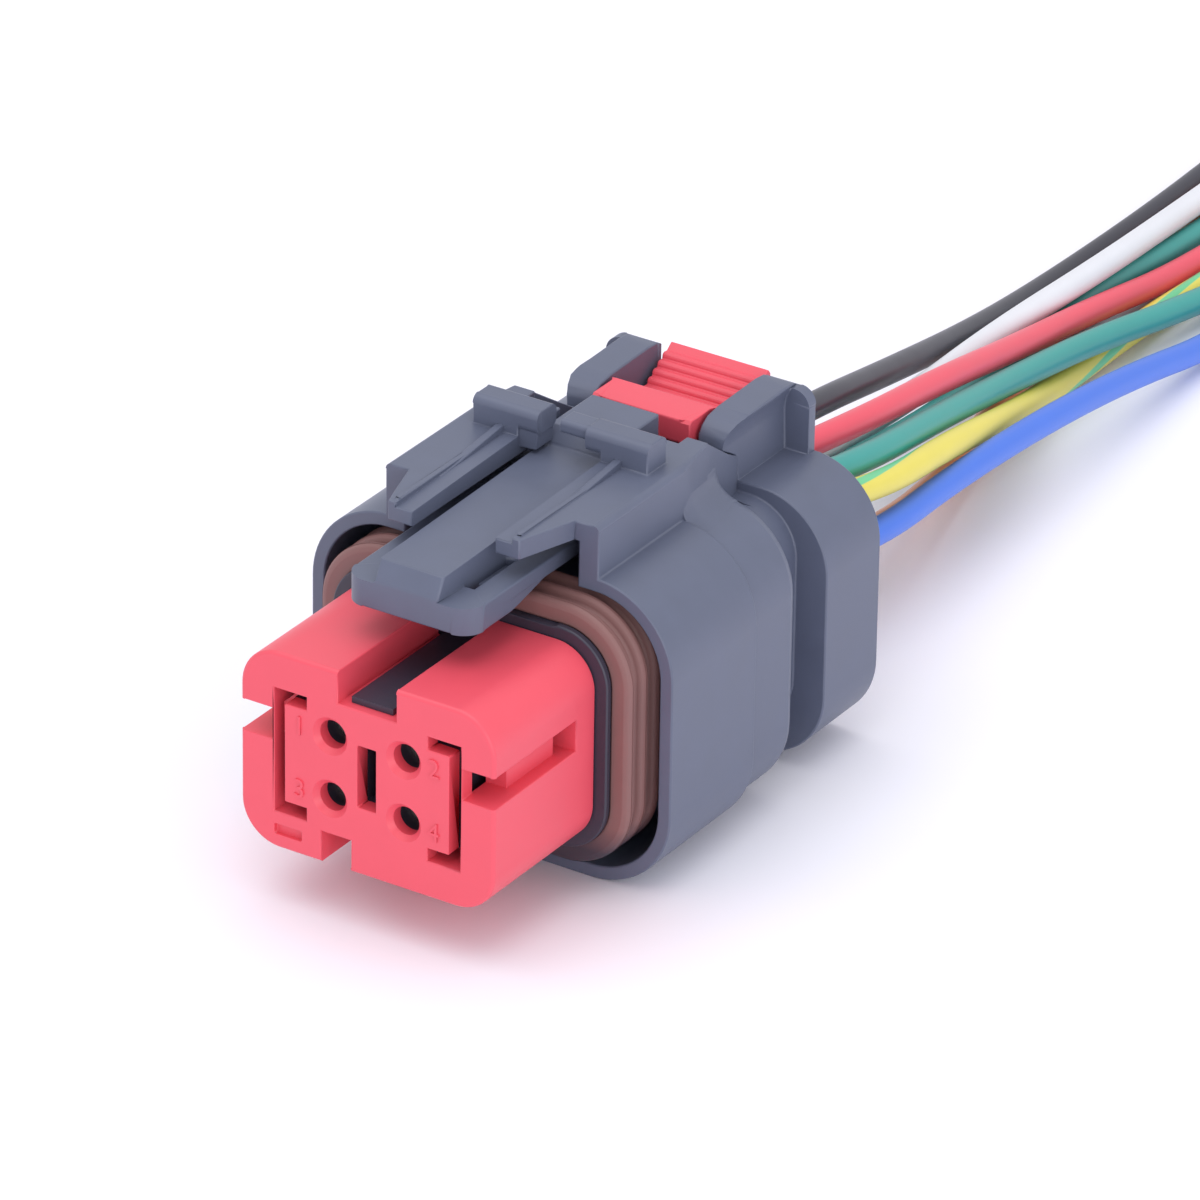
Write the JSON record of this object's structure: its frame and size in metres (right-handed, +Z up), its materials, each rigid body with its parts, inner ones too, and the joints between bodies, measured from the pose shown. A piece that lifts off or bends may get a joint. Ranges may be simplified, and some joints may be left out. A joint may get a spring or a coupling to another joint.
{
  "type": "sealed cable connector plug",
  "caption": "Rectangular sealed wiring plug with a front terminal lock, ribbed seal in a shroud, guarded latch, sliding position lock and coloured leads.",
  "frame": {"origin": "on the ground, under the middle of the plug without its leads", "axes": "+Z up, +Y from the mating face back to the leads, X across the mating face"},
  "size_m": [0.0378, 0.207, 0.0374],
  "materials": {
    "housing_plastic": "dark blue-grey glass-filled plastic, fine matte moulding",
    "latch_plastic": "the same dark blue-grey plastic",
    "lock_red": "bright red plastic, satin",
    "slide_red": "bright red plastic, satin",
    "seal_rubber": "red-brown silicone rubber",
    "mat_rubber": "red-brown silicone rubber",
    "retainer_plastic": "black plastic",
    "contact_metal": "tin-plated copper alloy",
    "conductor_metal": "tinned copper strands",
    "insulation_black": "soft lead insulation, satin",
    "insulation_white": "soft lead insulation, satin",
    "insulation_orange": "soft lead insulation, satin",
    "insulation_teal_a": "soft lead insulation, satin",
    "insulation_teal_b": "soft lead insulation, satin",
    "insulation_red": "soft lead insulation, satin",
    "insulation_yellow_green": "soft lead insulation, satin, with a green stripe",
    "insulation_blue": "soft lead insulation, satin"
  },
  "bodies": {
    "housing": {"plug_housing": "housing_plastic", "interface_seal": "seal_rubber", "wire_seal": "mat_rubber", "seal_retainer": "retainer_plastic", "contact_1": "contact_metal", "contact_2": "contact_metal", "contact_3": "contact_metal", "contact_4": "contact_metal", "lead_black": "insulation_black", "lead_white": "insulation_white", "lead_orange": "insulation_orange", "lead_teal_a": "insulation_teal_a", "lead_red": "insulation_red", "lead_yellow_green": "insulation_yellow_green", "lead_teal_b": "insulation_teal_b", "lead_blue": "insulation_blue", "conductor_black": "conductor_metal", "conductor_white": "conductor_metal", "conductor_orange": "conductor_metal", "conductor_teal_a": "conductor_metal", "conductor_red": "conductor_metal", "conductor_yellow_green": "conductor_metal", "conductor_teal_b": "conductor_metal", "conductor_blue": "conductor_metal"},
    "latch": {"latch_arm": "latch_plastic"},
    "terminal_lock": {"front_lock": "lock_red"},
    "slide_lock": {"position_lock": "slide_red"}
  },
  "joints": [
    {"name": "latch_tilt", "type": "hinge", "parent": "housing", "child": "latch", "pos_m": [0, -0.00145, 0.02995], "axis": [-1, 0, 0], "range_deg": [0, 3.5], "stiffness_Nm_per_rad": 3},
    {"name": "terminal_lock_slide", "type": "slide", "parent": "housing", "child": "terminal_lock", "axis": [0, -1, 0], "range_m": [0, 0.0024]},
    {"name": "position_lock_slide", "type": "slide", "parent": "housing", "child": "slide_lock", "axis": [0, -1, 0], "range_m": [0, 0.002]}
  ]
}
